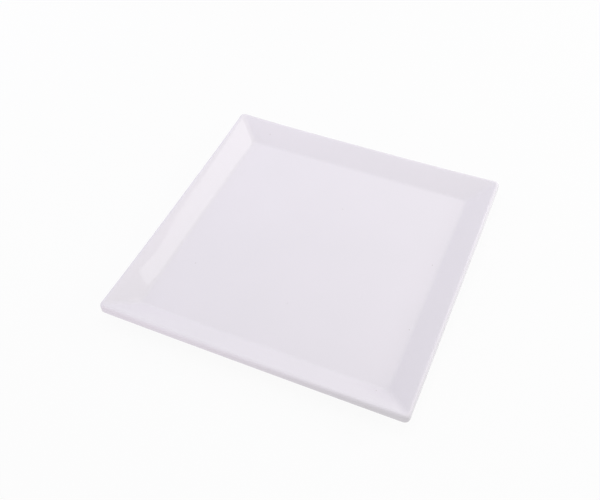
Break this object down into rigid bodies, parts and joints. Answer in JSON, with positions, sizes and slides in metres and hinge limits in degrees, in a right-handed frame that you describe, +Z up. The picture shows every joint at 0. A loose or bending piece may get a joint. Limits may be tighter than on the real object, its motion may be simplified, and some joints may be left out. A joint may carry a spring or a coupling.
{
  "type": "square serving platter",
  "caption": "Square glazed porcelain serving platter with a flat well, mitred sloping rims, a thick rounded lip with upswept corners and a bare foot ring underneath.",
  "frame": {"origin": "on the table, under the middle of the platter", "axes": "+Z up out of the well, X and Y square to the sides"},
  "size_m": [0.3, 0.3, 0.0231],
  "materials": {
    "biscuit_porcelain": "unglazed, matte",
    "white_glaze": "glossy, pale lavender white"
  },
  "bodies": {
    "root": {"porcelain_body": "biscuit_porcelain", "face_glaze": "white_glaze", "base_glaze": "white_glaze"}
  },
  "joints": []
}
